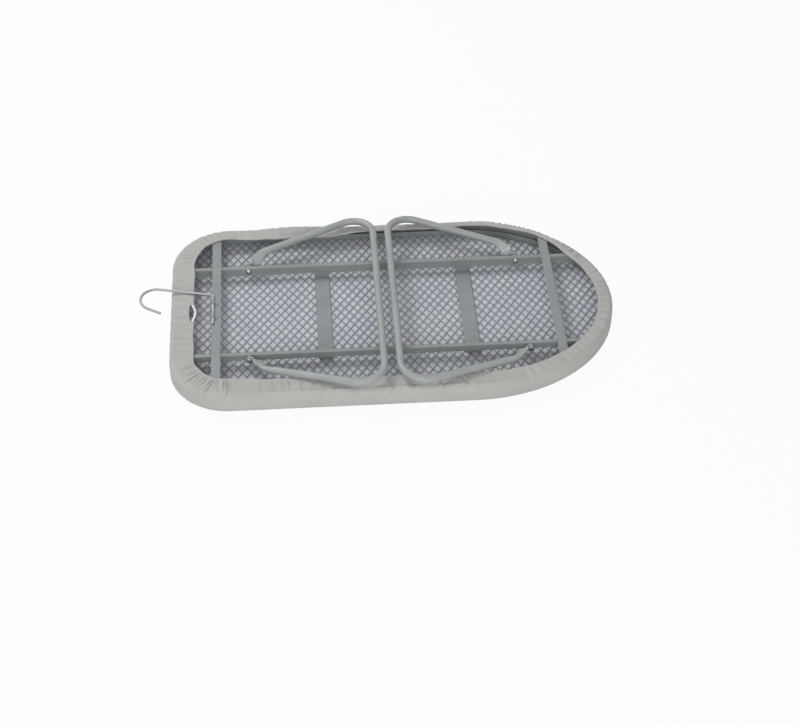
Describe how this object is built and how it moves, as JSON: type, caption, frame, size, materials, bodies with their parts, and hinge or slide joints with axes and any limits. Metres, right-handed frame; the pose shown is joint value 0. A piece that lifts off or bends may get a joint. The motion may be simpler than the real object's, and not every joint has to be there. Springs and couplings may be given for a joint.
{
  "type": "tabletop ironing board",
  "caption": "Padded mesh ironing board for a table, square at the tail and round at the nose, with folding tube legs and a swinging wire hanging hook.",
  "frame": {"origin": "middle of the ironing face, which the board lies on", "axes": "+X from the square tail to the round nose, +Y across the board to the far side, +Z from the ironing face to the legs"},
  "size_m": [0.6425, 0.35, 0.0462],
  "materials": {
    "cover_cloth": "matte woven cloth",
    "elastic": "braided elastic",
    "pad_felt": "felt",
    "mesh_paint": "satin",
    "frame_paint": "semi-gloss",
    "plated_steel": "bright plated",
    "hook_wire": "dull plated"
  },
  "bodies": {
    "board": {"cover": "cover_cloth", "hem_elastic": "elastic", "pad": "pad_felt", "mesh_top": "mesh_paint", "rim_channel": "frame_paint", "rail_far": "frame_paint", "rail_near": "frame_paint", "tail_strap": "frame_paint", "nose_strap": "frame_paint", "tail_tie": "frame_paint", "nose_tie": "frame_paint", "tail_rivet_far": "plated_steel", "tail_rivet_near": "plated_steel", "nose_rivet_far": "plated_steel", "nose_rivet_near": "plated_steel", "tail_collar_far": "frame_paint", "tail_collar_near": "frame_paint", "nose_collar_far": "frame_paint", "nose_collar_near": "frame_paint", "hook_clip_far": "frame_paint", "hook_clip_near": "frame_paint"},
    "tail_leg": {"tail_leg": "frame_paint"},
    "nose_leg": {"nose_leg": "frame_paint"},
    "hook": {"hanging_hook": "hook_wire"}
  },
  "joints": [
    {"name": "tail_leg_fold", "type": "hinge", "parent": "board", "child": "tail_leg", "pos_m": [-0.19471, 0, 0.0216], "axis": [0, -1, 0], "range_deg": [0, 100]},
    {"name": "nose_leg_fold", "type": "hinge", "parent": "board", "child": "nose_leg", "pos_m": [0.17791, 0, 0.0216], "axis": [0, 1, 0], "range_deg": [0, 100]},
    {"name": "hook_swing", "type": "hinge", "parent": "board", "child": "hook", "pos_m": [-0.243, 0, 0.02895], "axis": [0, 1, 0], "range_deg": [0, 175]}
  ]
}
